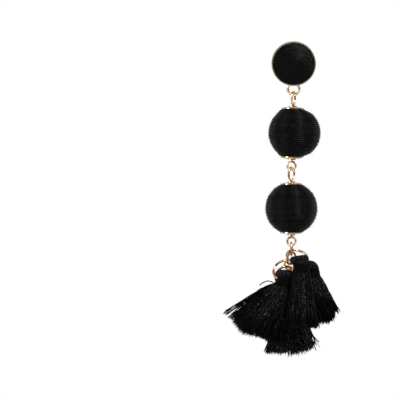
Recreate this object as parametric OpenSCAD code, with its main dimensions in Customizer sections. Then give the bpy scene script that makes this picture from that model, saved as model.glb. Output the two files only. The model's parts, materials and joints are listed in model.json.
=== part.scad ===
// Tassel earring: a wound stud, two wound balls on eye pins and four thread tassels on jump rings.
// The front faces -Y and it hangs down -Z. The origin is the middle of the cup's back face.

/* [Stud] */
// Outer diameter of the gold cup
cup_d = 14.7; // [12:0.1:18]
// Depth of the cup from its back face to its rim
cup_depth = 3.2; // [2.4:0.1:4.5]
// Thickness of the cup's rim
rim_wall = 0.35; // [0.25:0.05:0.6]
// Thickness of the cup's back plate
back_plate = 0.8; // [0.6:0.1:1.2]
// Rise of the wound disc above the rim
disc_rise = 1.1; // [0.6:0.1:2]
// How far the stud's face nods down when it is worn, in degrees
stud_nod = 7; // [0:1:12]
// Length of the ear post
post_length = 10.5; // [9:0.5:13]
// Diameter of the ear post
post_d = 0.8; // [0.7:0.05:1]

/* [Loop under the stud] */
// Outer diameter of the soldered loop
loop_d = 4.7; // [4.2:0.1:6]
// Wire of the soldered loop
loop_wire = 0.9; // [0.7:0.05:1]
// How far the loop reaches below the cup
loop_reach = 3.6; // [3.2:0.1:4.2]

/* [Wound balls] */
// Diameter of a ball over its thread
ball_d = 17.6; // [15:0.1:20]
// Bore through a ball
ball_bore = 1.3; // [1:0.1:2]
// How far the upper ball's winding bulges off its bore, to the right
upper_bulge = 0.7; // [0:0.1:1]

/* [Ball caps] */
// Width of a cap
cap_d = 7.3; // [6:0.1:9]
// Thickness of a cap
cap_wall = 0.3; // [0.25:0.05:0.5]
// Height of a cap's dish
cap_dish = 0.55; // [0.4:0.05:0.9]
// How far the inside of a cap's crown sinks below the top of its ball
cap_sink = 0.3; // [0.2:0.05:0.4]
// Diameter of the collar in the middle of a cap
collar_d = 2.6; // [2:0.1:3.4]
// Height of that collar
collar_rise = 0.25; // [0.15:0.05:0.5]

/* [Eye pins] */
// Wire of the eye pins and chain links
pin_wire = 0.7; // [0.6:0.05:0.75]
// Outer length of a pin's long top eye
top_eye_length = 5; // [4.8:0.1:6.5]
// Outer width of a pin's long top eye
top_eye_width = 4.2; // [3.8:0.1:4.6]
// Outer diameter of a pin's round bottom eye
low_eye_d = 3.45; // [3.4:0.05:4]
// Neck between the cap and the round bottom eye
low_eye_neck = 0.2; // [0.1:0.05:0.6]
// Turn of the upper pin's top eye about the upright
upper_eye_turn = 70; // [60:1:90]
// Turn of the lower pin's top eye about the upright
lower_eye_turn = 58; // [56:1:90]
// Turn of the upper pin's round eye about the upright, the other way
round_eye_turn = 10; // [8:1:15]
// Lean of the upper ball and its pin to the left at the bottom, in degrees
upper_lean = 1.5; // [0:0.5:3]

/* [Chain and jump rings] */
// Gap between two eyes that swing on each other
hang_gap = 0.15; // [0.13:0.01:0.18]
// Outer length of a chain link
link_length = 4.8; // [4.6:0.1:5.2]
// Outer width of a chain link
link_width = 3.6; // [3.5:0.1:3.9]
// Outer diameter of the jump rings
ring_d = 8; // [7.8:0.1:8.4]
// Wire of the jump rings
ring_wire = 0.8; // [0.6:0.05:0.85]
// Gap between two wires that hang in each other
link_gap = 0.1; // [0.05:0.01:0.15]

/* [Tassels] */
// Thickness of the folded thread bundle over a ring's wire
bundle = 2; // [1.8:0.1:2.4]
// Width of a folded crown along its ring
crown_w = 6.3; // [5.4:0.1:6.6]
// Drop of the neck below the crown's top
neck_drop = 3.5; // [3.4:0.1:4.5]
// Radius of the bound neck
neck_r = 2.5; // [2.2:0.05:2.6]
// Thread length from the neck to the cut ends
thread_length = 19; // [16:0.5:22]
// Depth of the grooves between locks, as a share of the skirt's width
lock_depth = 0.07; // [0:0.01:0.12]
// How ragged the cut ends are
ragged = 0.8; // [0:0.1:1.2]

/* [Bindings] */
// Bare neck below a wound band
bare_neck = 0.2; // [0.1:0.05:0.4]
// Height of the wound band round a neck
band_h = 1.8; // [1.4:0.1:2.4]
// Thickness of the wound band
band_wall = 0.35; // [0.25:0.05:0.45]

/* [Fits] */
// Gap between pieces that lie on each other
seat_gap = 0.05; // [0.03:0.01:0.08]
// Gap between a jump ring and the threads round it
thread_gap = 0.1; // [0.05:0.01:0.15]

/* [Hidden] */
gold = [0.86, 0.68, 0.42];
black_thread = [0.09, 0.09, 0.09];

function turn_x(v, a) = [v.x, v.y * cos(a) - v.z * sin(a), v.y * sin(a) + v.z * cos(a)];
function turn_y(v, a) = [v.x * cos(a) + v.z * sin(a), v.y, v.z * cos(a) - v.x * sin(a)];
function turn_z(v, a) = [v.x * cos(a) - v.y * sin(a), v.x * sin(a) + v.y * cos(a), v.z];
function turned(v, a) = turn_z(turn_y(turn_x(v, a.x), a.y), a.z);

// Stud: the loop's lowest wire, then the hinge point where the upper eye hangs on it
cup_r = cup_d / 2;
loop_z = -(cup_r + loop_reach - loop_d / 2);
loop_low = turned([0, -back_plate / 2, -(cup_r + loop_reach - loop_wire / 2)], [stud_nod, 0, 0]);
upper_hang = loop_low + [0, 0, loop_wire / 2 + pin_wire / 2 + hang_gap];

// One ball on its pin: the cap's crown from the ball's middle, and the rest measured down from the
// middle of its top eye's upper wire
top_eye_drop = top_eye_length - pin_wire;
cap_seat = ball_d / 2 - cap_sink;
cap_top = cap_seat + cap_wall + collar_rise;
ball_drop = top_eye_drop + pin_wire / 2 + cap_top;
low_eye_r = (low_eye_d - pin_wire) / 2;
low_eye_drop = ball_drop + cap_top + low_eye_neck + pin_wire / 2 + low_eye_r;
low_wire_drop = low_eye_drop + low_eye_r;
dish_r = (pow(cap_d / 2, 2) + pow(cap_dish, 2)) / (2 * cap_dish);

// The lower pin hangs on the upper pin's round eye, and the chain on the lower pin's
hang_step = [0, 0, pin_wire + hang_gap];
lower_hang = upper_hang + turned([0, 0, -low_wire_drop], [0, upper_lean, 0]) + hang_step;
bunch_hang = lower_hang + [0, 0, -low_wire_drop] + hang_step;

// Turn of each chain link and jump ring
MIDDLE = 0;
RIGHT = 1;
LEFT = 2;
BOTTOM = 3;
link_turns = [[0, 0, 92], [6, 25, 35], [0, -88, -37]];
ring_turns = [[-49, 10, 6], [55, 0, -88], [-42, -34, 0], [13, -12, 13]];

// Reach from a link's middle to its top wire or side wire, and from a ring's middle to its wire at a bearing
ring_r = (ring_d - ring_wire) / 2;
function link_top(i) = turned([0, 0, (link_length - pin_wire) / 2], link_turns[i]);
function link_side(i) = turned([(link_width - pin_wire) / 2, 0, 0], link_turns[i]);
function ring_reach(i, a) = turned(ring_r * [cos(a), 0, sin(a)], ring_turns[i]);

// Middles: each wire hooks into the one before it, a step of about one wire and a gap away
pin_step = pin_wire + link_gap;
mixed_step = (pin_wire + ring_wire) / 2 + link_gap;
link_1 = bunch_hang + pin_step * [0, 0.25, 0.1] - link_top(0);
link_2 = link_1 - link_top(0) + pin_step * [0.9, 0.85, 0.95] - link_top(1);
link_3 = link_2 - link_top(1) + pin_step * [0.5, 1.15, 1.3] - link_side(2);
link_middles = [link_1, link_2, link_3];
hook_middle = link_1 - link_top(0) + mixed_step * [-0.05, -0.58, 1.75] - ring_reach(MIDDLE, 125);
hook_right = link_2 + link_side(1) + mixed_step * [-0.8, -0.09, 0.89] - ring_reach(RIGHT, 80);
hook_left = link_2 - link_top(1) + mixed_step * [0.45, -0.12, 1] - ring_reach(LEFT, 25);
hook_bottom = link_3 - link_side(2) + mixed_step * [0.1, 0.7, 0.9] - ring_reach(BOTTOM, 60);
ring_middles = [hook_middle, hook_right, hook_left, hook_bottom];

// Lowest point of a jump ring's centre line, and the heading of its wire there
function ring_axis(i) = turned([0, 1, 0], ring_turns[i]);
function downhill(n) = let (d = [0, 0, -1] + n.z * n) d / norm(d);
function ring_low(i) = ring_middles[i] + ring_r * downhill(ring_axis(i));
function ring_heading(i) = let (t = cross(ring_axis(i), downhill(ring_axis(i)))) atan2(t.y, t.x);

// Tassels. Columns: crown's shift from the ring's lowest wire to the right and up, neck's shift from
// the crown's middle to the right and back, lean and spread of the skirt to the right and back in
// degrees, thread length as a share, share of it that bends, neck's radius as a share, skirt's swell
CROWN = 0;
SHIFT = 1;
LEAN = 2;
SPREAD = 3;
LENGTH = 4;
BEND = 5;
NECK = 6;
SWELL = 7;
tassels = [
  [[0, 0.6], [0.5, -0.5], [0, 0], [6, 5], 0.94, 0.3, 1, 0.3],
  [[0.3, 0.6], [0.5, -0.5], [11.5, 8], [12.5, 8], 0.74, 0.2, 0.97, 0.4],
  [[1.1, 0.5], [0, 0], [-30, -4], [24, 7], 0.94, 0.04, 1.04, 2.2],
  [[0.6, 0.5], [0.9, 0.3], [-0.5, 10], [13.5, 8], 1.02, 0.2, 1, 0.8]
];
fold_r = ring_wire / 2 + bundle;
around = 60;
locks = 20;
crown_steps = 6;
crown_power = 2.6;
neck_steps = 2;
skirt_steps = 9;
end_steps = 4;
neck_length = band_h + seat_gap + bare_neck;

// Middle of the crown's top, and middle of the neck's upper end
function crown_top(i) = ring_low(i) + [tassels[i][CROWN].x, 0, fold_r + tassels[i][CROWN].y];
function neck_top(i) = crown_top(i) + [tassels[i][SHIFT].x, tassels[i][SHIFT].y, -neck_drop];
function neck_width(i) = neck_r * tassels[i][NECK];

// Point on an oval of half widths w and d, squarer with a higher power, turned to a heading, on the bearing a
function oval_point(w, d, power, heading, a) =
  let (b = a - heading)
  let (u = [cos(b), sin(b)])
  let (r = pow(pow(abs(u.x) / w, power) + pow(abs(u.y) / d, power), -1 / power))
  r * [cos(a), sin(a)];

// Ring of the crown: at share q of its drop the fold has grown to its full depth
function crown_ring(i, q) =
  let (drop = neck_drop * q)
  let (fold = min(drop, fold_r))
  let (depth = sqrt(fold_r * fold_r - pow(fold_r - fold, 2)))
  let (ease = q * q * (3 - 2 * q))
  let (w = (crown_w / 2) * (0.86 + 0.14 * depth / fold_r) * (1 - ease) + neck_width(i) * ease)
  let (d = max(0.02, depth * (1 - ease) + neck_width(i) * ease * min(1, depth / fold_r)))
  let (mid = crown_top(i) + [tassels[i][SHIFT].x * ease, tassels[i][SHIFT].y * ease, -drop])
  [for (k = [0:around - 1])
    let (p = oval_point(w, d, crown_power + (2 - crown_power) * ease, ring_heading(i), 360 * k / around))
    mid + [p.x, p.y, 0]];

// Lean and spread of one thread, at a share k of the way out from the skirt's middle
function thread_tilt(i, a, k) =
  let (lean = tassels[i][LEAN])
  let (spread = tassels[i][SPREAD])
  [lean.x + k * spread.x * cos(a), lean.y + k * spread.y * sin(a)];

// A thread leaves the neck straight down, bends evenly and then runs straight: place after length s
function thread_run(tilt, s, whole, bend_share) =
  let (a = max(norm(tilt), 0.01))
  let (side = tilt / a)
  let (bend = bend_share * whole)
  let (arc = min(s, bend))
  let (turn_r = bend / (a * PI / 180))
  let (out = turn_r * (1 - cos(a * arc / bend)) + max(0, s - bend) * sin(a))
  let (down = turn_r * sin(a * arc / bend) + max(0, s - bend) * cos(a))
  [side.x * out, side.y * out, -down];

function lock_wave(i, k) = cos(360 * locks * k / around) + 0.4 * sin(360 * (3 * k + 7 * i) / around);
function ragged_wave(i, k) =
  sin(360 * (7 * k + 11 * i) / around) * 0.5 + cos(360 * (19 * k + 5 * i) / around) * 0.5;

// Ring of the skirt after length s, at a share k of the way out. It swells and tips to the leaning side
function skirt_ring(i, s, k) =
  let (whole = thread_length * tassels[i][LENGTH])
  let (low = neck_top(i) - [0, 0, neck_length])
  [for (j = [0:around - 1])
    let (a = 360 * j / around)
    let (groove = 1 + lock_depth * lock_wave(i, j) * s / whole)
    let (reach = s + ragged * ragged_wave(i, j) * pow(s / whole, 4))
    let (run = thread_run(thread_tilt(i, a, k * groove), reach, whole, tassels[i][BEND]))
    let (out = 1 - pow(1 - s / whole, 8))
    let (side = (1 + sign(tassels[i][LEAN].x) * cos(a)) / 2)
    let (r = k * (neck_width(i) + tassels[i][SWELL] * out * side))
    low + run + turn_y([r * cos(a), r * sin(a), 0], -tassels[i][LEAN].x * out)];

// Solid between rings of equal count, closed at both ends by a fan from each end's middle
function ring_sum(r, k = 0) = k == len(r) - 1 ? r[k] : r[k] + ring_sum(r, k + 1);
module loft(rings) {
  n = len(rings[0]);
  m = len(rings);
  points = concat([for (r = rings) each r], [ring_sum(rings[0]) / n, ring_sum(rings[m - 1]) / n]);
  sides = [for (j = [0:m - 2], k = [0:n - 1])
    let (a = j * n + k, b = j * n + (k + 1) % n)
    each [[a, a + n, b], [b, a + n, b + n]]];
  top = [for (k = [0:n - 1]) [m * n, k, (k + 1) % n]];
  end = [for (k = [0:n - 1]) [m * n + 1, (m - 1) * n + (k + 1) % n, (m - 1) * n + k]];
  polyhedron(concat(points), concat(sides, top, end), convexity = 4);
}

module wire_ring(middle_d, wire) {
  rotate([90, 0, 0])
    rotate_extrude($fn = 96)
      translate([middle_d / 2, 0])
        circle(d = wire, $fn = 32);
}

// Oval of wire, long side upright, facing the front
module wire_oval(length, width, wire) {
  r = (width - wire) / 2;
  straight = length - width;
  for (side = [0, 1])
    translate([0, 0, (side == 0 ? 1 : -1) * straight / 2])
      rotate([90, side * 180, 0])
        rotate_extrude(angle = 180, $fn = 96)
          translate([r, 0])
            circle(d = wire, $fn = 32);
  for (x = [-r, r])
    translate([x, 0, -straight / 2])
      cylinder(d = wire, h = straight, $fn = 32);
}

module worn() {
  rotate([stud_nod, 0, 0]) children();
}

module upper_frame() {
  translate(upper_hang) rotate([0, upper_lean, 0]) children();
}

module lower_frame() {
  translate(lower_hang) children();
}

module stud_setting() {
  color(gold) worn() {
    difference() {
      rotate([90, 0, 0]) cylinder(d = cup_d, h = cup_depth, $fn = 96);
      translate([0, -back_plate, 0])
        rotate([90, 0, 0]) cylinder(d = cup_d - 2 * rim_wall, h = cup_depth, $fn = 96);
    }
    rotate([-90, 0, 0])
      translate([0, 0, -back_plate / 2]) cylinder(d = post_d, h = post_length + back_plate / 2, $fn = 32);
    translate([0, -back_plate / 2, loop_z]) wire_ring(loop_d - loop_wire, loop_wire);
  }
}

module stud_winding() {
  disc_r = cup_r - rim_wall - seat_gap;
  disc_h = cup_depth - back_plate - seat_gap;
  dome_r = (disc_r * disc_r + disc_rise * disc_rise) / (2 * disc_rise);
  color(black_thread) worn()
    translate([0, -back_plate - seat_gap, 0])
      rotate([90, 0, 0])
        intersection() {
          cylinder(r = disc_r, h = disc_h + disc_rise, $fn = 96);
          translate([0, 0, disc_h + disc_rise - dome_r]) sphere(r = dome_r, $fn = 128);
        }
}

// Dish whose crown looks up, with a collar and a hole for the pin
module end_cap() {
  difference() {
    union() {
      intersection() {
        translate([0, 0, cap_seat - dish_r]) sphere(r = dish_r + cap_wall, $fn = 128);
        cylinder(d = cap_d, h = cap_seat + cap_wall, $fn = 96);
        translate([0, 0, cap_seat - cap_dish]) cylinder(d = cap_d, h = cap_dish + cap_wall, $fn = 96);
      }
      translate([0, 0, cap_seat]) cylinder(d = collar_d, h = cap_wall + collar_rise, $fn = 48);
    }
    translate([0, 0, cap_seat - dish_r]) sphere(r = dish_r, $fn = 128);
    cylinder(d = pin_wire + 2 * seat_gap, h = cap_top + 1, $fn = 32);
  }
}

// What the winding leaves free under a cap
module cap_room() {
  difference() {
    translate([0, 0, cap_seat - cap_dish - seat_gap])
      cylinder(d = cap_d + 2 * seat_gap, h = ball_d, $fn = 96);
    translate([0, 0, cap_seat - dish_r]) sphere(r = dish_r - seat_gap, $fn = 128);
  }
}

module wound_ball(bulge) {
  difference() {
    translate([bulge, 0, 0]) sphere(d = ball_d, $fn = 128);
    cylinder(d = ball_bore, h = 2 * ball_d, center = true, $fn = 48);
    cap_room();
    mirror([0, 0, 1]) cap_room();
  }
}

// Pin from the upper wire of its long eye, through the ball, to its round eye
module eye_pin(eye_turn, round_turn) {
  rotate([0, 0, eye_turn]) translate([0, 0, -top_eye_drop / 2])
    wire_oval(top_eye_length, top_eye_width, pin_wire);
  translate([0, 0, -low_eye_drop + low_eye_r])
    cylinder(d = pin_wire, h = low_eye_drop - low_eye_r - top_eye_drop, $fn = 32);
  translate([0, 0, -low_eye_drop]) rotate([0, 0, -round_turn]) wire_ring(2 * low_eye_r, pin_wire);
}

module upper_eye_pin() {
  color(gold) upper_frame() eye_pin(upper_eye_turn, round_eye_turn);
}
module upper_top_cap() {
  color(gold) upper_frame() translate([0, 0, -ball_drop]) end_cap();
}
module upper_ball() {
  color(black_thread) upper_frame() translate([0, 0, -ball_drop]) wound_ball(upper_bulge);
}
module upper_bottom_cap() {
  color(gold) upper_frame() translate([0, 0, -ball_drop]) mirror([0, 0, 1]) end_cap();
}
module lower_eye_pin() {
  color(gold) lower_frame() eye_pin(lower_eye_turn, 0);
}
module lower_top_cap() {
  color(gold) lower_frame() translate([0, 0, -ball_drop]) end_cap();
}
module lower_ball() {
  color(black_thread) lower_frame() translate([0, 0, -ball_drop]) wound_ball(0);
}
module lower_bottom_cap() {
  color(gold) lower_frame() translate([0, 0, -ball_drop]) mirror([0, 0, 1]) end_cap();
}

module chain_link(i) {
  color(gold) translate(link_middles[i]) rotate(link_turns[i])
    wire_oval(link_length, link_width, pin_wire);
}
module chain_link_1() {
  chain_link(0);
}
module chain_link_2() {
  chain_link(1);
}
module chain_link_3() {
  chain_link(2);
}

module jump_ring(i, grow = 0) {
  translate(ring_middles[i]) rotate(ring_turns[i]) wire_ring(2 * ring_r, ring_wire + 2 * grow);
}
module ring_middle() {
  color(gold) jump_ring(MIDDLE);
}
module ring_right() {
  color(gold) jump_ring(RIGHT);
}
module ring_left() {
  color(gold) jump_ring(LEFT);
}
module ring_bottom() {
  color(gold) jump_ring(BOTTOM);
}

// Folded crown, neck and skirt in one, with a way through the crown for its ring
module tassel(i) {
  whole = thread_length * tassels[i][LENGTH];
  crown = [for (q = [0:crown_steps]) crown_ring(i, q / crown_steps)];
  neck = [for (q = [1:neck_steps]) [for (p = crown[crown_steps]) p - [0, 0, neck_length * q / neck_steps]]];
  skirt = [for (q = [1:skirt_steps]) skirt_ring(i, whole * q / skirt_steps, 1)];
  end = [for (q = [1:end_steps - 1]) skirt_ring(i, whole, 1 - q / end_steps)];
  color(black_thread) difference() {
    loft(concat(crown, neck, skirt, end));
    jump_ring(i, thread_gap);
  }
}
module tassel_middle() {
  tassel(MIDDLE);
}
module tassel_right() {
  tassel(RIGHT);
}
module tassel_left() {
  tassel(LEFT);
}
module tassel_bottom() {
  tassel(BOTTOM);
}

module binding(i) {
  color(black_thread) translate(neck_top(i) - [0, 0, seat_gap + band_h / 2])
    difference() {
      cylinder(r = neck_width(i) + seat_gap + band_wall, h = band_h, center = true, $fn = 64);
      cylinder(r = neck_width(i) + seat_gap, h = 2 * band_h, center = true, $fn = 64);
    }
}
module binding_middle() {
  binding(MIDDLE);
}
module binding_right() {
  binding(RIGHT);
}
module binding_left() {
  binding(LEFT);
}
module binding_bottom() {
  binding(BOTTOM);
}

stud_setting();
stud_winding();
upper_eye_pin();
upper_top_cap();
upper_ball();
upper_bottom_cap();
lower_eye_pin();
lower_top_cap();
lower_ball();
lower_bottom_cap();
chain_link_1();
chain_link_2();
chain_link_3();
ring_middle();
ring_right();
ring_left();
ring_bottom();
tassel_middle();
tassel_right();
tassel_left();
tassel_bottom();
binding_middle();
binding_right();
binding_left();
binding_bottom();
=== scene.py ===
import json
import math

import bpy
import numpy as np
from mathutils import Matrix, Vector


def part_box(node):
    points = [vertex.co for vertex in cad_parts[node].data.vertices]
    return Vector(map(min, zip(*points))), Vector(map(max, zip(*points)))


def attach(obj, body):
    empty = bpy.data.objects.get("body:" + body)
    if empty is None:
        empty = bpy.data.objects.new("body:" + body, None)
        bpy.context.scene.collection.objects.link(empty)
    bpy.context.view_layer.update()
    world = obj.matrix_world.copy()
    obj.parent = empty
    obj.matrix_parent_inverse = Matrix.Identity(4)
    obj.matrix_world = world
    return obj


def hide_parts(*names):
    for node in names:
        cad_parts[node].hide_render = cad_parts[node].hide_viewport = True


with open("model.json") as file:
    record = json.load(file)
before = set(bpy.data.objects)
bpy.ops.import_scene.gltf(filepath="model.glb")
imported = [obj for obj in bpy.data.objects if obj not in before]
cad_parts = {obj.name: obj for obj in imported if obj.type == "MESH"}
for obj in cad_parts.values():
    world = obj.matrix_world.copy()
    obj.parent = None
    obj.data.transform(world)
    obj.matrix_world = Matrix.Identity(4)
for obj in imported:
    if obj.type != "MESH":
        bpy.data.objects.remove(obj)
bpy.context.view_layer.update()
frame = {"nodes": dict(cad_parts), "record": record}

mm = 0.001
fullTurn = 2 * np.pi
rng = np.random.default_rng(11)


def say(text):
    print("earring:", text)


# each vector over its own length
def unit(v):
    return v / np.maximum(np.linalg.norm(v, axis=-1, keepdims=True), 1e-12)


# 0 below a, 1 above b, and 3t^2 - 2t^3 between
def ease(x, a=0.0, b=1.0):
    t = np.clip((x - a) / (b - a), 0, 1)
    return t * t * (3 - 2 * t)


# n bearings at even steps round a turn
def bearings(n):
    return fullTurn * np.arange(n) / n


# v turned about Y by an angle in degrees
def turnY(v, degrees):
    a = np.radians(degrees)
    return np.stack([v[..., 0] * np.cos(a) + v[..., 2] * np.sin(a), v[..., 1],
                     v[..., 2] * np.cos(a) - v[..., 0] * np.sin(a)], -1)


# faces from index arrays: uv holds one pair for each face corner, and the tone one value for each vertex, how
# strong the painted glints and painted highlights are there
def addMesh(name, verts, quads, tris, uv, paintedGlintTone):
    tris = np.zeros((0, 3), int) if tris is None else tris
    mesh = bpy.data.meshes.new(name)
    mesh.vertices.add(len(verts))
    mesh.vertices.foreach_set("co", np.ascontiguousarray(verts, np.float32).ravel())
    corners = np.concatenate([quads.ravel(), tris.ravel()]).astype(np.int32)
    mesh.loops.add(len(corners))
    mesh.loops.foreach_set("vertex_index", corners)
    starts = np.concatenate([np.arange(len(quads)) * 4, len(quads) * 4 + np.arange(len(tris)) * 3])
    mesh.polygons.add(len(starts))
    mesh.polygons.foreach_set("loop_start", starts.astype(np.int32))
    mesh.polygons.foreach_set("use_smooth", np.ones(len(starts), bool))
    if uv is not None:
        mesh.uv_layers.new(name="thread").data.foreach_set("uv", uv.astype(np.float32).ravel())
    mesh.attributes.new("paintedGlintTone", "FLOAT", "POINT").data.foreach_set("value", paintedGlintTone.astype(np.float32))
    mesh.update(calc_edges=True)
    mesh.validate()
    thing = bpy.data.objects.new(name, mesh)
    bpy.context.collection.objects.link(thing)
    return thing


# n threads of m points: every point carries a ring of corners in the plane across its thread. Where no
# cross direction is given, each thread takes the world axis that it runs along least. The UV's u is the
# length in mm from a start of its own within 500 mm, so no two threads have the same painted glints. The
# tone sets how strong the painted glints are on each thread
def tubes(name, paths, radius, sides=3, across=None, paintedGlintTone=0.5):
    n, m, _ = paths.shape
    along = unit(np.gradient(paths, axis=1))
    if across is None:
        across = np.eye(3)[np.argmin(np.abs(paths[:, -1] - paths[:, 0]), axis=1)][:, None]
    side = unit(np.cross(along, np.broadcast_to(np.asarray(across, float), paths.shape)))
    over = np.cross(along, side)
    a = rng.uniform(0, fullTurn, n)[:, None] + bearings(sides)
    ring = side[:, :, None] * np.cos(a)[:, None, :, None] + over[:, :, None] * np.sin(a)[:, None, :, None]
    verts = paths[:, :, None] + ring * np.broadcast_to(radius, (n, m))[:, :, None, None]
    first = (np.arange(n) * m * sides)[:, None, None]
    i = np.arange(m - 1)[None, :, None] * sides
    j = np.arange(sides)[None, None, :]
    k = (j + 1) % sides
    corners = [first + i + j, first + i + k, first + i + sides + k, first + i + sides + j]
    quads = np.stack(corners, -1).reshape(-1, 4)
    fan = np.array([[0, c, c + 1] for c in range(1, sides - 1)])
    tris = np.concatenate([(first + fan[None, :, ::-1]).reshape(-1, 3),
                           (first + (m - 1) * sides + fan[None]).reshape(-1, 3)])
    steps = np.cumsum(np.linalg.norm(np.diff(paths, axis=1), axis=2), 1) / mm
    run = np.concatenate([np.zeros((n, 1)), steps], 1) + rng.uniform(0, 500, (n, 1))
    u = np.stack([run[:, :-1], run[:, :-1], run[:, 1:], run[:, 1:]], -1)[:, :, None]
    v = (np.arange(sides)[:, None] + np.array([0, 1, 1, 0])) / sides
    uv = np.stack(np.broadcast_arrays(u, v[None, None]), -1).reshape(-1, 2)
    uv = np.concatenate([uv, np.zeros((len(tris) * 3, 2))])
    shade = np.broadcast_to(paintedGlintTone, (n, m))
    return addMesh(name, verts.reshape(-1, 3), quads, tris, uv, np.repeat(shade.ravel(), sides))


# closed both ways: rows follow a profile that runs clockwise seen with the axis up, columns go round. The
# UV's u runs along a turn of thread and v counts the turns
def closedGrid(name, points, paintedGlintTone):
    m, n, _ = points.shape
    i, j = np.meshgrid(np.arange(m), np.arange(n), indexing="ij")
    a, b = i * n + j, i * n + (j + 1) % n
    c, d = ((i + 1) % m) * n + (j + 1) % n, ((i + 1) % m) * n + j
    quads = np.stack([a, d, c, b], -1).reshape(-1, 4)
    iu = np.stack([i, i + 1, i + 1, i], -1)
    jv = np.stack([j, j, j + 1, j + 1], -1)
    uv = np.stack([jv / n * turnLength, iu / turnSteps], -1).reshape(-1, 2)
    return addMesh(name, points.reshape(-1, 3), quads, None, uv, paintedGlintTone.ravel())


# rings of equal count from top to bottom, closed by a fan from each end's middle
def loft(name, rings):
    m, n, _ = rings.shape
    verts = np.concatenate([rings.reshape(-1, 3), rings[0].mean(0)[None], rings[-1].mean(0)[None]])
    i, j = np.meshgrid(np.arange(m - 1), np.arange(n), indexing="ij")
    k = (j + 1) % n
    quads = np.stack([i * n + j, (i + 1) * n + j, (i + 1) * n + k, i * n + k], -1).reshape(-1, 4)
    c = np.arange(n)
    tris = np.concatenate([np.stack([np.full(n, m * n), c, (c + 1) % n], -1),
                           np.stack([np.full(n, m * n + 1), (m - 1) * n + (c + 1) % n, (m - 1) * n + c], -1)])
    return addMesh(name, verts, quads, tris, None, np.zeros(len(verts)))


# a piece rides on its body, has its slot's finish, and stands for the nodes that it hides
def place(piece, body, slot, *nodes):
    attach(piece, body)
    if nodes:
        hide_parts(*nodes)
    piece.data.materials.append(finish[slot])


# a number on a node's output: arithmetic on it adds Math nodes
class Value:
    def __init__(self, maker, socket):
        self.maker, self.socket = maker, socket

    def math(self, operation, *others):
        return self.maker.node("Math", {"operation": operation}, dict(enumerate((self,) + others)))

    def clamp(self):
        return self.math("MINIMUM", 1.0).math("MAXIMUM", 0.0)

    def __add__(self, other):
        return self.math("ADD", other)

    def __sub__(self, other):
        return self.math("SUBTRACT", other)

    def __rsub__(self, other):
        return self.maker.node("Math", {"operation": "SUBTRACT"}, {0: other, 1: self})

    def __mul__(self, other):
        return self.math("MULTIPLY", other)

    __radd__ = __add__
    __rmul__ = __mul__


class NodeMaker:
    def __init__(self, tree):
        self.tree = tree

    # any node: its settings go first, then the values or links of its sockets
    def node(self, kind, settings=None, inputs=None, output=0):
        made = self.tree.nodes.new("ShaderNode" + kind)
        for key, value in (settings or {}).items():
            setattr(made, key, value)
        for key, value in (inputs or {}).items():
            if isinstance(value, Value):
                self.tree.links.new(value.socket, made.inputs[key])
            else:
                made.inputs[key].default_value = value
        return Value(self, made.outputs[output])


class Finish(NodeMaker):
    def __init__(self, name, **constants):
        self.material = bpy.data.materials.new(name)
        self.material.use_nodes = True
        super().__init__(self.material.node_tree)
        self.shader = self.tree.nodes["Principled BSDF"]
        for key, value in constants.items():
            self.shader.inputs[key.replace("_", " ")].default_value = value

    def noise(self, scale, detail=3.0, where=None, rough=0.5):
        where = where or self.node("TexCoord", output="Object")
        inputs = {"Vector": where, "Scale": scale, "Detail": detail, "Roughness": rough}
        return self.node("TexNoise", None, inputs)

    # colour a where the factor is 0, b where it is 1
    def mix(self, factor, a, b):
        return self.node("Mix", {"data_type": "RGBA"}, {0: factor, 6: (*a, 1), 7: (*b, 1)}, 2)

    def feed(self, **links):
        for key, value in links.items():
            self.tree.links.new(value.socket, self.shader.inputs[key.replace("_", " ")])

    def bump(self, height, strength, distance):
        inputs = {"Strength": strength, "Distance": distance, "Height": height}
        self.feed(Normal=self.node("Bump", None, inputs, output="Normal"))


# shared by all gold: scale of the tint's drift, share of light tint, spread of roughness, share of dings
# in the bump, and the bump's strength and depth
plate = {"drift": 320.0, "lightShare": 0.6, "spread": 0.22, "dings": 0.3, "bump": 0.25, "depth": 0.03 * mm}
# patches is how strongly the two tints differ from place to place, and on the wires, where it is strong, the
# dark patches are painted dark reflection as well as a random tint; grain is the scale of the fine grain
goldLooks = {
    "gold_setting": {"light": (0.96, 0.80, 0.56), "deep": (0.55, 0.37, 0.20), "rough": 0.2,
                     "grain": 2600.0, "patches": 1.2},
    "gold_cap": {"light": (0.94, 0.77, 0.52), "deep": (0.48, 0.29, 0.14), "rough": 0.2,
                 "grain": 2200.0, "patches": 2.5},
    "gold_wire": {"light": (0.86, 0.66, 0.40), "deep": (0.30, 0.16, 0.06), "rough": 0.18,
                  "grain": 3000.0, "patches": 5.0},
    "rose_gold_wire": {"light": (0.80, 0.52, 0.32), "deep": (0.28, 0.11, 0.05), "rough": 0.18,
                       "grain": 3000.0, "patches": 5.0},
}


# gold plate: warm tint drifts slowly, its dark patches partly painted reflection, and a fine grain and tiny
# dings roughen it
def goldFinish(name, look):
    f = Finish(name, Metallic=1.0)
    drift = f.noise(plate["drift"], 2.0)
    fine = f.noise(look["grain"], 4.0, rough=0.65)
    tintAndReflection = ((drift - 0.5) * look["patches"] + plate["lightShare"]).clamp()
    f.feed(Base_Color=f.mix(tintAndReflection, look["deep"], look["light"]),
           Roughness=(fine - 0.5) * plate["spread"] + look["rough"])
    dings = f.noise(look["grain"] * 4, 2.0) * plate["dings"]
    f.bump(fine * (1 - plate["dings"]) + dings, plate["bump"], plate["depth"])
    return f.material


# shared by all thread: scales of the worn patches and of the fine fuzz, how much the worn patches and the
# pale stretches of painted glint change the roughness, the share of a painted glint that its grain breaks
# up, number of plied strands, shares of the strands and the fuzz in the bump, and the bump's strength and
# depth
silk = {"wearScale": 260.0, "fuzzScale": 9000.0, "spread": 0.25, "paleSmooth": 0.08, "grain": 0.5,
        "plies": 2.0, "ply": 0.3, "fuzz": 0.2, "bump": 0.6, "depth": 0.03 * mm}
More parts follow.
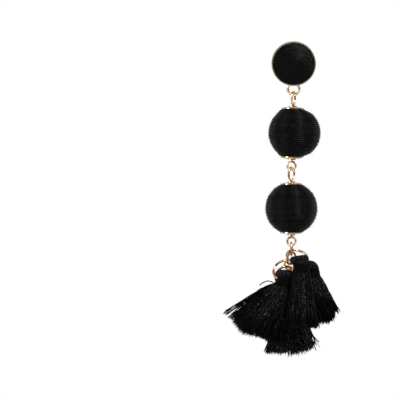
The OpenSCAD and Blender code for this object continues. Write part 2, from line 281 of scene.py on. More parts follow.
# kinks and twist are for each mm, turnStep sets neighbouring turns apart, and specks is the scale of the
# painted glints' grain. Dark is the thread's own colour, light the pale colour of a painted highlight. Gap
# and contrast say how rare and how crisp the painted glints are, and floor how much painted highlight is left
# between them. Lump is the share of the kinks in the bump, wear that of the worn patches in the tone
threadLooks = {
    "wound_thread": {
        "dark": (0.0006, 0.0006, 0.0007), "light": (0.055, 0.055, 0.056), "gloss": 0.05, "rough": 0.36,
        "kinks": 1.1, "turnStep": 3.1, "specks": 1800.0, "contrast": 8.0, "gap": 0.53, "floor": 0.04,
        "twist": 1.2, "lump": 1.4, "wear": 0.01},
    "tassel_thread": {
        "dark": (0.0005, 0.0005, 0.0006), "light": (0.14, 0.14, 0.142), "gloss": 0.05, "rough": 0.34,
        "kinks": 1.4, "turnStep": 0.5, "specks": 3000.0, "contrast": 9.0, "gap": 0.5, "floor": 0.01,
        "twist": 1.4, "lump": 1.2, "wear": 0.01},
    "binding_thread": {
        "dark": (0.0007, 0.0007, 0.0008), "light": (0.006, 0.006, 0.0062), "gloss": 0.03, "rough": 0.5,
        "kinks": 0.6, "turnStep": 3.1, "specks": 900.0, "contrast": 5.0, "gap": 0.5, "floor": 0.05,
        "twist": 1.2, "lump": 0.4, "wear": 0.03},
}


# silky thread: the UV's u is its length and v goes round it. Painted glints, pale base colour in place of
# highlights, come where a noise along the length is high, two plied strands twist round it, and the mesh's
# tone says how strong the painted glints and painted highlights are on each stretch
def threadFinish(name, look):
    f = Finish(name, Specular_IOR_Level=look["gloss"])
    uv = f.node("UVMap", {"uv_map": "thread"})
    u, v = f.node("SeparateXYZ", None, {0: uv}), f.node("SeparateXYZ", None, {0: uv}, 1)
    kink = f.noise(1.0, 2.0, f.node("CombineXYZ", None, {0: u * look["kinks"], 1: v * look["turnStep"]}))
    speck = ((f.noise(look["specks"], 1.0) - 0.5) * look["contrast"]).clamp()
    paintedGlint = ((kink - look["gap"]) * look["contrast"]).clamp() * (speck * silk["grain"] + (1 - silk["grain"]))
    ply = ((u * look["twist"] + v * silk["plies"]) * fullTurn).math("SINE")
    paintedGlintTone = f.node("Attribute", {"attribute_name": "paintedGlintTone"}, output="Fac")
    wear = f.noise(silk["wearScale"], 3.0)
    # painted highlight: the base colour turns pale with the painted glints, and a little with worn patches
    pale = (paintedGlintTone * (paintedGlint + look["floor"]) + wear * look["wear"]).clamp()
    f.feed(Base_Color=f.mix(pale, look["dark"], look["light"]),
           Roughness=(wear - 0.5) * silk["spread"] - paintedGlintTone * silk["paleSmooth"] + look["rough"])
    fuzz = f.noise(silk["fuzzScale"], 3.0) * silk["fuzz"]
    f.bump(ply * silk["ply"] + kink * look["lump"] + fuzz, silk["bump"], silk["depth"])
    return f.material


finish = {name: goldFinish(name, look) for name, look in goldLooks.items()}
finish.update({name: threadFinish(name, look) for name, look in threadLooks.items()})
for part in frame["record"]["subparts"]:
    node = frame["nodes"][part["node"]]
    node.data.materials.clear()
    node.data.materials.append(finish[part["material_slot"]])
say("finishes ready")

# points of a profile for each turn of thread, and the mm that the UV gives to a turn, long or short
turnSteps, turnLength = 4, 40
# tone of a wound thread: at its middle, spread from turn to turn, drift round a turn, in the groove, what
# its back adds, and off the thread. The groove's share is painted shade, and what the back adds is a painted
# highlight on each turn's round back
woundToneAndShading = {"middle": 0.4, "spread": 0.1, "drift": 0.05, "groove": 0.4, "back": 0.8, "off": 0.1}


# a closed profile of radii and heights is carried round an axis. Turn counts the thread's turns, and is
# below 0 off the thread. Each turn has its own radius, drifts up and down once and twice round, so the
# turns aren't quite level, and has painted shade in its groove and a painted highlight on its back. Lift is
# how far the radii differ, slip the drift
def woundRound(profile, turn, around, lift, slip):
    radii, heights = profile.T
    t = np.maximum(turn, 0).astype(int)
    own = rng.normal(0, 1, (4, t.max() + 1))
    a = bearings(around)
    on = (turn >= 0)[:, None]
    back = np.abs(np.sin(np.pi * turn))[:, None]
    phase = fullTurn * own[:, t][..., None]
    wave = np.sin(a + phase[1]) + 0.5 * np.sin(2 * a + 3 * phase[2])
    r = radii[:, None] + on * lift * (own[0][t][:, None] + 0.5 * wave)
    z = heights[:, None] + on * slip * wave
    pale = woundToneAndShading["middle"] + woundToneAndShading["spread"] * own[3][t][:, None] + woundToneAndShading["drift"] * wave
    # painted shade in each turn's groove and painted highlight on its round back, over a random tone
    paintedGlintTone = np.where(on, pale * (woundToneAndShading["groove"] + woundToneAndShading["back"] * back), woundToneAndShading["off"])
    return np.stack([r * np.cos(a), r * np.sin(a), z + 0 * r], -1), np.clip(paintedGlintTone, 0, 1)


# height of a turn's round back over its groove: |sin|^0.75 over each turn
def turnRise(groove, s):
    return groove * (np.abs(np.sin(np.pi * s)) ** 0.75 - 1)


# turns that the points of a profile lie on: s on the thread, below 0 on the rest of it
def turnCount(s, turns, rest):
    return np.concatenate([np.minimum(s, turns - 0.01), np.full(rest, -1.0)])


# seatEdge is how far the flat under a cap starts inside its rim, bulge says between which radii a ball's
# shift off its pin comes in, sheen scales the painted glints and painted highlights of the tone, and
# crossings are odd turns at a slant
ball = {
    "radius": 8.8 * mm, "bore": 0.65 * mm, "capRadius": 3.75 * mm, "pitch": 0.7 * mm, "groove": 0.34 * mm,
    "around": 160, "capSeat": 8.5 * mm, "capDrop": 0.55 * mm, "seatEdge": 0.12 * mm, "lift": 0.008 * mm,
    "slip": 0.02 * mm, "paintedSheen": 0.6, "bulge": (3.9 * mm, 6 * mm),
    "crossings": 5, "crossingPoints": 73, "crossingRadius": 0.06 * mm, "crossingRise": 0.01 * mm,
    "crossingPolar": (0.75, 2.4), "crossingTilt": (0.04, 0.3), "crossingPhase": 6.3,
}
# the fine fibres round a ball: polar says where they grow, between the caps, and mmLong is their length
fluff = {
    "count": 420, "radius": 0.016 * mm, "root": 0.03 * mm, "polar": (0.45, 2.69), "points": 5,
    "mmLong": (0.35, 1.1), "lift": (0.15, 0.9), "curl": 0.3, "stray": 0.5,
}


# turns of thread over a sphere between the caps, then flat under a cap, down the bore and out again
def ballProfile():
    r0, r1 = ball["capRadius"], ball["radius"]
    a0 = math.asin(r0 / r1)
    turns = int((math.pi - 2 * a0) * r1 / ball["pitch"])
    s = np.arange(turns * turnSteps + 1) / turnSteps
    polar = a0 + (math.pi - 2 * a0) * s / turns
    r = r1 + turnRise(ball["groove"], s)
    outer = np.stack([r * np.sin(polar), r * np.cos(polar)], 1)
    under = np.linspace(r0 - ball["seatEdge"], ball["bore"], 5)
    cap = np.stack([under, ball["capSeat"] - ball["capDrop"] * (under / r0) ** 2], 1)
    bore = np.stack([np.full(3, ball["bore"]), np.array([0.5, 0, -0.5]) * ball["capSeat"]], 1)
    inner = np.concatenate([cap * [1, -1], bore[::-1], cap[::-1]])
    return np.concatenate([outer, inner]), turnCount(s, turns, len(inner))


# loops round the ball at a polar angle that rises and falls once on the way
def crossingLoops(bulge):
    a = np.linspace(0, fullTurn, ball["crossingPoints"])
    n = ball["crossings"]
    polar, tilt = rng.uniform(*ball["crossingPolar"], n), rng.uniform(*ball["crossingTilt"], n)
    phase = rng.uniform(0, ball["crossingPhase"], n)
    polar = polar[:, None] + tilt[:, None] * np.sin(a + phase[:, None])
    r = ball["radius"] + ball["crossingRise"]
    level = r * np.sin(polar)
    return np.stack([level * np.cos(a) + bulge, level * np.sin(a), r * np.cos(polar)], -1)


# short fibres that start on a sphere: each runs along it with s and lifts off with s squared
def hairs(radius):
    count, (high, low) = fluff["count"], fluff["polar"]
    polar = np.arccos(rng.uniform(math.cos(low), math.cos(high), count))
    a = rng.uniform(0, fullTurn, count)
    out = np.stack([np.sin(polar) * np.cos(a), np.sin(polar) * np.sin(a), np.cos(polar)], -1)
    level = unit(np.cross([0, 0, 1.0], out))
    turn = rng.choice([-1, 1], count)[:, None]
    along = unit(level * turn + np.cross(out, level) * rng.normal(0, fluff["stray"], count)[:, None])
    long = rng.uniform(*fluff["mmLong"], count)[:, None, None] * mm
    s = np.linspace(0, 1, fluff["points"])[None, :, None]
    lift = rng.uniform(*fluff["lift"], count)[:, None, None]
    curl = rng.normal(0, fluff["curl"], count)[:, None, None]
    off = out[:, None] * lift + np.cross(out, along)[:, None] * curl
    return out[:, None] * radius + long * (along[:, None] * s + off * s ** 2)


# a ball's winding, crossing turns and fine fibres, leaned about Y and moved to its solid's middle
def woundBall(name, body, lean, bulge):
    low, high = [np.array(v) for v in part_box(name)]
    middle = (low + high) / 2 - turnY(np.array([bulge, 0, 0]), lean)
    profile, turn = ballProfile()
    points, paintedGlintTone = woundRound(profile, turn, ball["around"], ball["lift"], ball["slip"])
    points[..., 0] += bulge * ease(np.linalg.norm(points[..., :2], axis=-1), *ball["bulge"])
    winding = closedGrid(name + "_winding", turnY(points, lean) + middle, paintedGlintTone * ball["paintedSheen"])
    place(winding, body, "wound_thread", name)
    loops = turnY(crossingLoops(bulge), lean) + middle
    place(tubes(name + "_crossing", loops, ball["crossingRadius"], 4, (0.01, 0, 1)), body, "wound_thread")
    fuzz = hairs(ball["radius"] - fluff["root"])
    fuzz[..., 0] += bulge
    place(tubes(name + "_fuzz", turnY(fuzz, lean) + middle, fluff["radius"]), body, "wound_thread")


# lean in degrees, and bulge, how far the ball sits to the right of its pin
balls = {"upper_ball": {"body": "upper_drop", "lean": 1.5, "bulge": 0.7 * mm},
         "lower_ball": {"body": "lower_drop", "lean": 0.0, "bulge": 0.0}}
for name, own in balls.items():
    woundBall(name, **own)

# a hairline bore joins the middle of the front to that of the back, so that the surface is closed, and tuck
# lowers the last point at the rim. The sheen is a painted highlight: it adds to the plain tone towards the
# upper right, over a reach in radii
disc = {
    "radius": 6.93 * mm, "rim": 3.2 * mm, "rise": 1.1 * mm, "back": 0.86 * mm, "pitch": 0.58 * mm,
    "groove": 0.13 * mm, "around": 200, "nod": 7.0, "lift": 0.006 * mm, "slip": 0.02 * mm,
    "hole": 0.01 * mm, "backHole": 0.0015, "tuck": 0.05 * mm, "sideLow": 2.4 * mm,
    "plain": 0.35, "paintedSheen": 2.2, "paintedSheenReach": 1.4, "paintedSheenFull": 0.9,
}


# turns of thread in level rings from the middle of a shallow dome to its rim, then down the cup and back
def woundDisc():
    turns = int(disc["radius"] / disc["pitch"])
    s = np.arange(2, turns * turnSteps + 1) / turnSteps
    r = disc["radius"] * s / turns
    r[0] = disc["hole"]
    dome = (disc["radius"] ** 2 + disc["rise"] ** 2) / (2 * disc["rise"])
    front = disc["rim"] + disc["rise"] - dome + np.sqrt(dome ** 2 - r ** 2) + turnRise(disc["groove"], s)
    front[-1] -= disc["tuck"]
    back = disc["back"]
    side = np.array([[1, disc["sideLow"]], [1, back], [0.5, back], [disc["backHole"], back]])
    profile = np.concatenate([np.stack([r, front], 1), side * [disc["radius"], 1]])
    turn = turnCount(s, turns, len(side))
    points, paintedGlintTone = woundRound(profile, turn, disc["around"], disc["lift"], disc["slip"])
    x, y, z = np.moveaxis(points, -1, 0)
    # painted highlight: the disc's turns grow paler towards the upper right
    upperRightHighlight = (x + y) / (disc["paintedSheenReach"] * disc["radius"])
    paintedGlintTone = paintedGlintTone * (disc["plain"] + disc["paintedSheen"] * ease(upperRightHighlight, 0, disc["paintedSheenFull"]))
    # the axis looks at the front, then nods
    a = math.radians(disc["nod"])
    p = np.stack([x, -z * math.cos(a) - y * math.sin(a), -z * math.sin(a) + y * math.cos(a)], -1)
    place(closedGrid("stud_disc", p, np.clip(paintedGlintTone, 0, 1)), "stud", "wound_thread", "stud_winding")


woundDisc()
say("wound disc and balls ready")

# outer threads make the surface, inner ones fill it, and outside is the share that lies in the outer layer.
# A tilt fades out between the upright heights over the band's middle
thread = {
    "inner": {"radius": 0.12 * mm, "points": 7, "outside": 0.25},
    "outer": {"radius": 0.13 * mm, "points": 30, "outside": 1.0},
    "neckRadius": 2.5 * mm, "length": 19 * mm, "flare": 0.4 * mm, "flareOver": 1.2 * mm,
    "upright": (0.5 * mm, 3.2 * mm), "locks": 56,
}
# shift is the crown's offset from its neck in mm. Lean and spread are in degrees, to the right and back,
# and bend is the share of the length that bends. Neck scales the neck's radius, swell widens the leaning
# side in mm, tilt swings neck, band and skirt about the band's middle, and slant tips the crown's top. Cut
# is how much longer the threads halfway to the leaning side are, and how much shorter the outermost ones.
# Strands stand off the edge by steps of a gap, and trail is how much longer they are. Dull is painted shade:
# where along the thread the painted glints end and by how much. Glow is painted light: the painted glints'
# strength at the left, front and back, and right
tassels = {
    "middle": {
        "shift": (0.9, -0.5), "lean": (0, 0), "spread": (7.5, 6), "length": 0.94, "bend": 0.3, "neck": 1,
        "swell": 0.4, "tilt": 0, "slant": 0.14, "cut": (0, 0), "inner": 1100, "outer": 560, "strands": 0,
        "gap": 0, "trail": 0, "paintedEndShade": (0.7, 0.85), "paintedSideLight": (0.2, 1.0, 0.9)},
    "right": {
        "shift": (0.5, -0.5), "lean": (11.5, 8), "spread": (10.5, 8), "length": 0.8, "bend": 0.2,
        "neck": 0.97, "swell": 0.6, "tilt": 6, "slant": 0, "cut": (0.04, 0.2), "inner": 1100, "outer": 560,
        "strands": 8, "gap": 0.08, "trail": -0.1, "paintedEndShade": (0.42, 1.0), "paintedSideLight": (0.9, 1.5, 1.7)},
    "left": {
        "shift": (0, 0), "lean": (-29, -4), "spread": (17.5, 7), "length": 0.96, "bend": 0.04,
        "neck": 1.04, "swell": 0.9, "tilt": -20, "slant": 0, "cut": (0.075, 0.03), "inner": 1500,
        "outer": 760, "strands": 16, "gap": 0.15, "trail": 0.05, "paintedEndShade": (0.66, 0.9),
        "paintedSideLight": (0.5, 1.1, 0.1)},
    "bottom": {
        "shift": (0.9, 0.3), "lean": (0.1, 10), "spread": (15, 8), "length": 1.02, "bend": 0.2, "neck": 1,
        "swell": 0.35, "tilt": 0, "slant": 0, "cut": (0, 0.07), "inner": 1200, "outer": 620, "strands": 6,
        "gap": 0.12, "trail": 0, "paintedEndShade": (0.8, 0.6), "paintedSideLight": (1.4, 2.8, 3.0)},
}


# level heading of the ring's wire at its lowest point, to the right or back: the ring's axis is the
# direction that its solid's points spread along least
def ringHeading(node):
    mesh = frame["nodes"][node].data
    co = np.zeros(len(mesh.vertices) * 3)
    mesh.vertices.foreach_get("co", co)
    co = co.reshape(-1, 3)
    axis = np.linalg.svd(co - (co.min(0) + co.max(0)) / 2, full_matrices=False)[2][2]
    heading = np.cross(axis, np.array([0, 0, -1.0]) + axis[2] * axis)
    heading[2] = 0
    return unit(heading * (1 if heading[0] + 0.5 * heading[1] > 0 else -1))


# a thread leaves straight down, bends evenly over its first stretch and then runs straight
def threadRun(tilt, s, whole, share):
    a = np.radians(np.maximum(np.linalg.norm(tilt, axis=-1), 0.01))
    side = tilt / np.degrees(a)[..., None]
    bend = share * whole
    arc = np.minimum(s, bend)
    beyond = np.maximum(0, s - bend)
    out = bend / a * (1 - np.cos(a * arc / bend)) + beyond * np.sin(a)
    down = bend / a * np.sin(a * arc / bend) + beyond * np.cos(a)
    return np.stack([side[..., 0] * out, side[..., 1] * out, -down], -1)


# what lies below the band's middle swings by the tilt, and what lies above it eases back to upright
def tipped(points, t, pivot):
    d = points - pivot
    share = 1 - ease(d[..., 2], *thread["upright"])
    return pivot + turnY(d, -t["tilt"] * share)


# how the threads of a skirt lie. Edge and inside are shares of the neck's radius, tilts are in degrees, and
# lengths and waves are shares unless they say mm. Strands are the single ones off the edge, rogues the
# share of threads that stray far, shorts the share cut short, and powers say how sharply a change comes in
lie = {
    "edge": (0.84, 1.04), "inside": (0.02, 0.95), "swellPower": 8, "strandBearing": 0.15, "strandSteps": 4,
    "strandStray": 0.01, "strandCalm": 0.8, "strandTone": 0.8, "strandWide": 0.45,
    "lockTilt": 1.3, "threadTilt": 1.3, "rogueTilt": 4.5, "rogues": 0.05, "tiltFrom": 0.2,
    "closing": (0.2, 0.75), "closingPower": 1.5, "tuft": 0.024, "uneven": 0.02, "short": 0.12, "shorts": 0.05,
    "shortPower": 4,
    "waveHeights": (0.35, 0.7, 1.0), "waveLengths": (0.42 * mm, 1.0 * mm, 2.7 * mm), "pace": (0.8, 1.3),
    "finePoints": 20, "mmCrinkle": (0.04, 0.15), "crinkleOver": (0.02, 0.3), "mmEndStray": 0.35,
    # paintedNeckShadeOver is where the painted shade under the band gives way to painted glints,
    # paintedEndShadeOver how long the painted shade towards the cut ends takes to come in
    "root": 0.5 * mm, "paintedNeckShadeOver": (-0.5 * mm, 2 * mm), "paintedEndShadeOver": 0.2, "tones": (0.03, 1), "tonePower": 2.2,
    "thickness": (0.75, 1.15), "tip": 0.45,
}


# place of threads on bearing a, a share k out from the middle, after length s. They widen below the band
# and swell towards the leaning side, or by half all round where a tassel doesn't lean
def skirtPoint(t, low, a, k, s, whole, jitter=0.0):
    lean, spread = np.array(t["lean"]) - [t["tilt"], 0], np.array(t["spread"])
    tilt = lean + k[..., None] * spread * np.stack([np.cos(a), np.sin(a)], -1) + jitter
    run = threadRun(tilt, s, whole, t["bend"])
    out = 1 - (1 - np.clip(s / whole, 0, 1)) ** lie["swellPower"]
    side = (1 + np.sign(t["lean"][0]) * np.cos(a)) / 2
    flare = thread["flare"] * ease(s, 0, thread["flareOver"])
    r = thread["neckRadius"] * t["neck"] + flare + t["swell"] * mm * out * side
    r = np.minimum(k, lie["edge"][1]) * r
    start = np.stack([r * np.cos(a), r * np.sin(a), 0 * r], -1)
    return low + run + turnY(start, -lean[0] * out)


# bearing and share out from the middle for each thread, and which of them are single strands that stand
# off the edge on the leaning side
def threadPlaces(t, kind):
    n = t[kind]
    a = rng.uniform(0, fullTurn, n)
    outside = rng.uniform(0, 1, n) < thread[kind]["outside"]
    k = np.where(outside, rng.uniform(*lie["edge"], n), np.sqrt(rng.uniform(*lie["inside"], n)))
    loose = (np.arange(n) < t["strands"]) & (kind == "outer")
    leaning = np.pi if t["lean"][0] < 0 else fullTurn
    a = np.where(loose, rng.normal(0, lie["strandBearing"], n) + leaning, a) % fullTurn
    step = np.arange(n) % lie["strandSteps"] + 1
    return a, np.where(loose, 1 + t["gap"] * step + rng.normal(0, lie["strandStray"], n), k), loose


# each lock strays together, each thread strays a little, and a few rogues stray far
def threadTilts(lock, loose):
    n = len(lock)
    tilt = rng.normal(0, lie["lockTilt"], (thread["locks"], 2))[lock]
    tilt = tilt + rng.normal(0, lie["threadTilt"], (n, 2))
    tilt = tilt + rng.normal(0, lie["rogueTilt"], (n, 2)) * (rng.uniform(0, 1, (n, 1)) < lie["rogues"])
    return tilt * (1 - lie["strandCalm"] * loose[:, None])


# length of each thread: the tassel's own cut, tufts that were cut together, and a few cut short
def threadEnds(t, whole, a, k, lock, loose):
    n = len(a)
    toLean = np.clip(k * np.cos(a) * (np.sign(t["lean"][0]) or 1), 0, 1)
    longer, shorter = t["cut"]
    trim = longer * np.sin(np.pi * toLean) - shorter * toLean ** lie["shortPower"] * ~loose
    tuft = rng.normal(0, lie["tuft"], thread["locks"])[lock]
    uneven = rng.normal(0, lie["uneven"], n)
    short = lie["short"] * (rng.uniform(0, 1, n) < lie["shorts"])
    return whole * (1 + trim + tuft + uneven - short + t["trail"] * loose)


# sideways waves of three lengths grow below the band, and each end strays with the cube of its length
def crinkled(paths, s, share):
    n, m, _ = paths.shape
    phase = rng.uniform(0, fullTurn, (3, n, 1, 2))
    pace = rng.uniform(*lie["pace"], (n, 1, 1))
    kinds = zip(lie["waveHeights"], lie["waveLengths"], (pace, pace, 1), phase)
    fine, even, slow = [high * np.sin(s[..., None] / long * rate + own) for high, long, rate, own in kinds]
    wave = fine * (m > lie["finePoints"]) + even + slow
    growing = ease(share, *lie["crinkleOver"])[:, None]
    paths[..., :2] += wave * rng.uniform(*lie["mmCrinkle"], (n, 1, 1)) * mm * growing
    paths[..., :2] += rng.normal(0, lie["mmEndStray"], (n, 1, 2)) * mm * (share ** 3)[:, None]
    paths[:, 0, 2] += lie["root"]
    return paths


# painted glints fade into painted shade below the band and towards the cut ends, painted light makes them
# stronger on some sides, and they differ at random from thread to thread
def threadPaintedLight(t, a, s, whole, loose):
    left, ahead, right = t["paintedSideLight"]
    start, amount = t["paintedEndShade"]
    outward = np.cos(a) ** 2
    paintedSideLight = ahead * (1 - outward) + np.where(np.cos(a) < 0, left, right) * outward
    paintedFade = ease(s, *lie["paintedNeckShadeOver"]) * (1 - amount * ease(s / whole, start, start + lie["paintedEndShadeOver"]))
    own = rng.uniform(*lie["tones"], (len(a), 1)) ** lie["tonePower"]
    return paintedSideLight[:, None] * paintedFade * own * (1 - lie["strandTone"] * loose[:, None])


# loose threads from the neck to the cut ends: each lock closes up towards its tip
def skirt(name, t, low, pivot, kind):
    own, locks = thread[kind], thread["locks"]
    whole = thread["length"] * t["length"]
    share = np.linspace(0, 1, own["points"])
    a, k, loose = threadPlaces(t, kind)
    lock = (a / fullTurn * locks).astype(int)
    tilt = threadTilts(lock, loose)
    closing = rng.uniform(*lie["closing"], locks)[lock]
    lockMiddle = (lock + 0.5) / locks * fullTurn
    bearing = a[:, None] + ((lockMiddle - a) * closing)[:, None] * share ** lie["closingPower"]
    s = share * threadEnds(t, whole, a, k, lock, loose)[:, None]
    jitter = tilt[:, None] * np.linspace(lie["tiltFrom"], 1, own["points"])[:, None]
    paths = crinkled(skirtPoint(t, low, bearing, k[:, None] + 0 * s, s, whole, jitter), s, share)
    paintedGlintTone = threadPaintedLight(t, a, s, whole, loose)
    taper = np.where(share < 1, 1, lie["tip"])
    radius = own["radius"] * taper * rng.uniform(*lie["thickness"], (len(a), 1))
    radius = radius * (1 + lie["strandWide"] * loose[:, None])
    return tubes(name, tipped(paths, t, pivot), radius, 3, None, paintedGlintTone)


# share is of the neck's radius, ripples go round, and closing rings shrink to these shares at the end
core = {"around": 64, "share": 0.8, "ripple": 0.05, "ripples": 20, "rings": 12, "shorter": 2.6 * mm,
        "rise": 0.4 * mm, "closing": (0.75, 0.5, 0.25)}


# dark heart of the skirt, so no light comes between the threads: rings of it go down the skirt, then close
def skirtCore(name, t, low, pivot):
    whole = thread["length"] * t["length"] - core["shorter"]
    a = bearings(core["around"])
    wave = core["share"] * (1 + core["ripple"] * np.cos(core["ripples"] * a))
    rings = [skirtPoint(t, low, a, wave, 0 * a + whole * q, whole) for q in np.linspace(0, 1, core["rings"])]
    rings += [skirtPoint(t, low, a, wave * q, 0 * a + whole, whole) for q in core["closing"]]
    rings[0] = rings[0] + [0, 0, core["rise"]]
    return loft(name, tipped(np.array(rings), t, pivot))


# fold is the radius of the half circles over the ring's wire, power how square the crown is in plan,
# narrowing how much less wide it is at its middle than at front and back, and late delays the easing to the
# neck. OverTop is the share of a thread that turns over the wire, sideSag lowers the threads towards both
# sides, and legs says where along a thread its straight run comes in
top = {
    "fold": 2.4 * mm, "width": 6.6 * mm, "drop": 3.5 * mm, "power": 2.6, "narrowing": 0.14, "late": 1.3,
    "threads": 64, "points": 31, "layers": (1.0, 0.94), "bearingStray": 0.02, "bearingTwist": 0.04,
    "layerStray": 0.01, "overTop": 0.55, "sideSag": 0.3, "sagPower": 4, "legs": (0.5, 1.05),
    # tone is the painted highlight over the fold's top, tonePower how it falls off down the sides, and tones
    # its spread from thread to thread
    "root": 0.5 * mm, "paintedGlintTone": 0.8, "tonePower": 0.5, "tones": (0.1, 1),
}


# Crown: an oval in plan, squarer at the fold than at the neck. Its half width and half depth are eased from
# the fold to the neck with the share of the drop, and each thread keeps its own bearing on the oval
def crownPoint(t, peak, heading, bearing, deep, z):
    e = ease((peak[2] - z) / top["drop"]) ** top["late"]
    neck = thread["neckRadius"] * t["neck"]
    width = top["width"] / 2 * (1 - top["narrowing"] + top["narrowing"] * np.abs(deep)) * (1 - e) + neck * e
    depth = (top["fold"] * (1 - e) + neck * e) * deep
    power = 2 / (top["power"] * (1 - e) + 2 * e)
    x = width * np.sign(np.cos(bearing)) * np.abs(np.cos(bearing)) ** power
    y = depth * np.abs(np.sin(bearing)) ** power
    across = np.array([-heading[1], heading[0]])
    shift = np.array(t["shift"]) * mm
    level = peak[:2] + shift * e[..., None] + x[..., None] * heading[:2] + y[..., None] * across
    slant = t["slant"] * (level[..., 0] - peak[0]) * (1 - e)
    return np.concatenate([level, (z + slant)[..., None]], -1)


# threads rise at the front, turn over the ring's wire in half circles and go down the back
def crown(name, t, peak, heading, pivot):
    n, q = top["threads"], np.linspace(-1, 1, top["points"])
    layers = np.meshgrid(top["layers"], np.pi * (np.arange(n) + 0.5) / n, indexing="ij")
    layer, bearing = [g.ravel()[:, None] for g in layers]
    bearing = bearing + rng.normal(0, top["bearingStray"], bearing.shape)
    bearing = bearing + rng.normal(0, top["bearingTwist"], bearing.shape) * q
    layer = layer + rng.normal(0, top["layerStray"], layer.shape)
    turn = np.clip(q / top["overTop"], -1, 1) * np.pi / 2
    side = np.abs(np.cos(bearing))
    lift = top["fold"] * layer * np.cos(turn) * (1 - top["sideSag"] * side ** top["sagPower"])
    wire = peak[2] - top["fold"]
    below = ease(np.abs(q), *top["legs"]) * (top["drop"] - top["fold"] + top["root"])
    paths = crownPoint(t, peak, heading, bearing, layer * np.sin(turn), wire + lift - below)
    # painted highlight: threads are paler where they turn over the top of the fold, at random strengths
    pale = top["paintedGlintTone"] * np.maximum(0, np.cos(turn)) ** top["tonePower"]
    paintedGlintTone = pale * rng.uniform(*top["tones"], (len(bearing), 1))
    return tubes(name, tipped(paths, t, pivot), thread["outer"]["radius"], 4, heading, paintedGlintTone)


# from and to are shares of the crown's drop, narrow and widen shares of its width
heart = {"around": 48, "rings": 12, "from": 0.06, "to": 1.3, "narrow": 0.78, "widen": 0.08, "sink": 0.4 * mm}


# dark heart of the crown: the same oval, made narrower, as deep at each height as the half circles are
def crownHeart(name, t, peak, heading, pivot):
    a = bearings(heart["around"])
    rings = []
    for share in np.linspace(heart["from"], heart["to"], heart["rings"]):
        z = peak[2] - share * top["drop"]
        deep = math.sqrt(max(0.01, 1 - max(0, 1 - share * top["drop"] / top["fold"]) ** 2))
        ring = crownPoint(t, peak, heading, a, np.sign(np.sin(a)) * deep, np.full(heart["around"], z))
        narrow = heart["narrow"] + heart["widen"] * min(1, 2 * share)
        rings.append(ring * narrow + ring.mean(0) * (1 - narrow))
    return loft(name, tipped(np.array(rings) - [0, 0, heart["sink"]], t, pivot))


# build is how far the band stands off the neck, round how much less it does at both its ends
wound = {"turns": 8, "build": 0.32 * mm, "groove": 0.06 * mm, "round": 0.12 * mm, "roundPower": 6,
         "inner": 0.3 * mm, "around": 72, "lift": 0.01 * mm, "slip": 0.02 * mm}


# turns of thread round a neck: a closed profile with one bump for each turn, rounded off at both ends
def windBand(name, node, radius, tilt):
    low, high = [np.array(v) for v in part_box(node)]
    turns = wound["turns"]
    s = np.arange(turns * turnSteps + 1) / turnSteps
    z = (0.5 - s / turns) * (high[2] - low[2])
    ends = wound["round"] * (2 * s / turns - 1) ** wound["roundPower"]
    r = radius + wound["build"] + turnRise(wound["groove"], s) - ends
    inner = np.array([[radius - wound["inner"], z[-1]], [radius - wound["inner"], z[0]]])
    profile = np.concatenate([np.stack([r, z], 1), inner])
    turn = turnCount(s, turns, len(inner))
    points, paintedGlintTone = woundRound(profile, turn, wound["around"], wound["lift"], wound["slip"])
    return closedGrid(name, turnY(points, -tilt) + (low + high) / 2, paintedGlintTone)


for key, t in tassels.items():
    band, body, slot = "binding_" + key, "tassel_bunch", "tassel_thread"
    low, high = [np.array(v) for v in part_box(band)]
    neckLow = np.array([(low[0] + high[0]) / 2, (low[1] + high[1]) / 2, low[2]])
    peak = np.append(neckLow[:2] - np.array(t["shift"]) * mm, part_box("tassel_" + key)[1][2])
    heading = ringHeading("ring_" + key)
    pivot = (low + high) / 2
    place(skirt("threads_" + key, t, neckLow, pivot, "outer"), body, slot, "tassel_" + key)
    place(skirt("filling_" + key, t, neckLow, pivot, "inner"), body, slot)
    place(skirtCore("core_" + key, t, neckLow, pivot), body, slot)
    place(crown("crown_" + key, t, peak, heading, pivot), body, slot)
    place(crownHeart("heart_" + key, t, peak, heading, pivot), body, slot)
    bound = windBand("band_" + key, band, thread["neckRadius"] * t["neck"], t["tilt"])
    place(bound, body, "binding_thread", band)
    say("tassel " + key + " ready")

# loose hairs that stand off the bunch, each a smooth run through its own points in mm
stray = {
    "points": [[[-6.4, -1, -73.5], [-8.2, -1.6, -71.8], [-9.8, -2, -72.6], [-11.4, -2, -74.0]],
               [[1.0, 1, -82.0], [4.0, 1, -87.6], [6.0, 1, -90.5], [8.5, 1, -93.0]]],
    "radius": 0.19 * mm, "sides": 5, "steps": 24,
}


# cubic run through four control points
def bezier(points, count):
    s = np.linspace(0, 1, count)[:, None]
    weights = [(1 - s) ** 3, 3 * s * (1 - s) ** 2, 3 * s ** 2 * (1 - s), s ** 3]
    return sum(w * points[:, k][:, None] for k, w in enumerate(weights))


strayRuns = bezier(np.array(stray["points"]) * mm, stray["steps"])
place(tubes("stray_threads", strayRuns, stray["radius"], stray["sides"]), "tassel_bunch", "tassel_thread")

# frame is the width that the camera sees at the earring, look the middle of it, and aim the point that the
# lights face
stage = {
    "floor": -160 * mm, "reach": 0.6, "rings": 5, "around": 96, "thick": 10 * mm, "frame": 400 / 3 * mm,
    "distance": 1.0, "look": (-31.17 * mm, 0, -45.6 * mm), "sensor": 36, "clip": (0.01, 20),
    "aim": (0, 0, -0.05),
}
# places and sizes in metres, power in watts
softboxes = {
    "key": {"where": (0.3, -0.5, 0.4), "size": (0.2, 0.2), "power": 4.0},
    "fill": {"where": (-0.6, -0.4, 0.1), "size": (0.25, 0.4), "power": 2.0},
    "back_left": {"where": (-0.5, 0.25, 0.1), "size": (0.15, 0.5), "power": 0.4},
    "back_right": {"where": (0.5, 0.25, 0.1), "size": (0.15, 0.5), "power": 0.25},
}
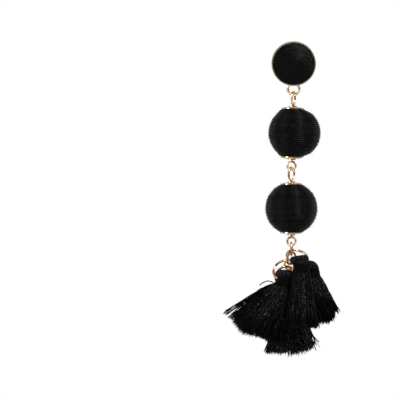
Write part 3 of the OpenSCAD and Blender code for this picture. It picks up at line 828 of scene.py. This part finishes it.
# light of the room from above, from behind and from everywhere, and how fast the first two come in
air = {"above": 0.5, "behind": 0.1, "all": 0.08, "aboveRate": 2.5, "behindRate": 2.0}
# pale card under the earring
card = {"rough": 0.9, "patches": 40.0, "low": (0.80, 0.80, 0.79), "high": (0.84, 0.84, 0.83)}

a = bearings(stage["around"])
radii = np.linspace(0, 1, stage["rings"] + 1)[1:] * stage["reach"]
level = np.full((len(radii), len(a)), stage["floor"])
rings = np.stack([radii[:, None] * np.cos(a), radii[:, None] * np.sin(a), level], -1)
floor = loft("floor", np.concatenate([rings, rings[-1:] - [0, 0, stage["thick"]]]))
paper = Finish("floor_paper", Roughness=card["rough"])
paper.feed(Base_Color=paper.mix(paper.noise(card["patches"]), card["low"], card["high"]))
floor.data.materials.append(paper.material)

world = bpy.data.worlds.new("studio")
bpy.context.scene.world = world
bpy.context.scene.view_settings.view_transform = "Standard"
world.use_nodes = True
sky = NodeMaker(world.node_tree)
where = sky.node("TexCoord", output="Object")
above = (sky.node("SeparateXYZ", None, {0: where}, 2) * air["aboveRate"]).clamp() * air["above"]
behind = (sky.node("SeparateXYZ", None, {0: where}, 1) * air["behindRate"]).clamp() * air["behind"]
room = sky.node("Background", None, {"Color": (1, 1, 1, 1), "Strength": above + behind + air["all"]})
paperWhite = sky.node("Background", None, {"Color": (1, 1, 1, 1), "Strength": 1.0})
# the camera itself sees plain white
seen = sky.node("MixShader", None, {0: sky.node("LightPath"), 1: room, 2: paperWhite})
world.node_tree.links.new(seen.socket, world.node_tree.nodes["World Output"].inputs["Surface"])

for name, box in softboxes.items():
    lamp = bpy.data.lights.new(name, "AREA")
    lamp.shape = "RECTANGLE"
    lamp.size, lamp.size_y = box["size"]
    lamp.energy = box["power"]
    thing = bpy.data.objects.new(name, lamp)
    thing.location = box["where"]
    thing.rotation_euler = (Vector(stage["aim"]) - Vector(box["where"])).to_track_quat("-Z", "Y").to_euler()
    bpy.context.collection.objects.link(thing)

lens = bpy.data.cameras.new("camera")
lens.sensor_width = stage["sensor"]
lens.lens = lens.sensor_width * stage["distance"] / stage["frame"]
lens.clip_start, lens.clip_end = stage["clip"]
camera = bpy.data.objects.new("camera", lens)
look = Vector(stage["look"])
camera.location = look + Vector((0, -stage["distance"], 0))
camera.rotation_euler = (look - camera.location).to_track_quat("-Z", "Y").to_euler()
bpy.context.collection.objects.link(camera)
bpy.context.scene.camera = camera
say("stage ready")
